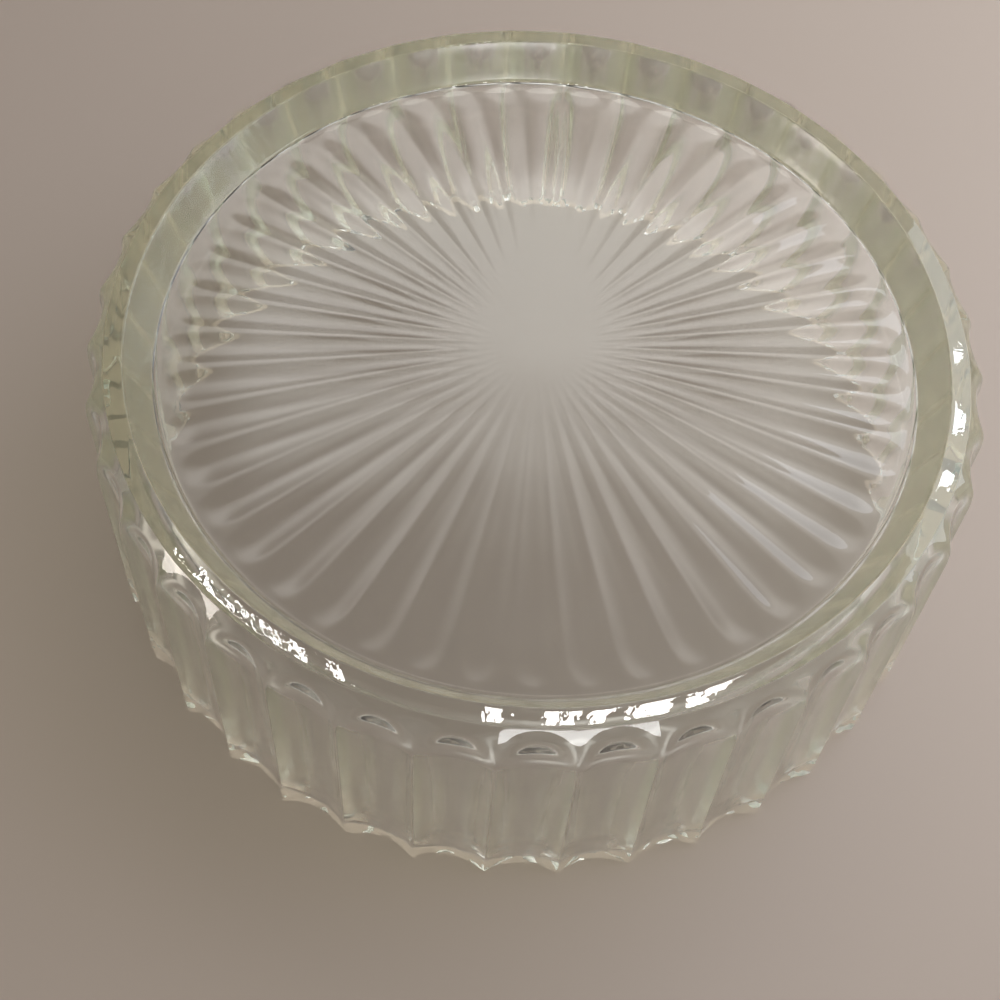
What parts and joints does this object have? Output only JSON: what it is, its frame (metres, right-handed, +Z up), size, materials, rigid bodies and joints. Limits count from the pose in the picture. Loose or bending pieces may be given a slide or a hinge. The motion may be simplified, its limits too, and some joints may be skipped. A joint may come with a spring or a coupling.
{
  "type": "floating candle bowl",
  "caption": "Shallow round bowl of clear pressed glass with a fluted wall, a foot ring and a sunburst base, for water and floating candles; shown turned over on its mouth.",
  "frame": {"origin": "centre of the mouth's plane, on which the turned-over bowl stands", "axes": "+Z up along the bowl's axis, from the mouth to the foot ring; a ridge of the wall and a ray of the base lie along +X"},
  "size_m": [0.1496, 0.1496, 0.048],
  "materials": {
    "clear_glass": "smooth fire-polished clear glass with a faint grey-green tint"
  },
  "bodies": {
    "root": {"glass_bowl": "clear_glass"}
  },
  "joints": []
}
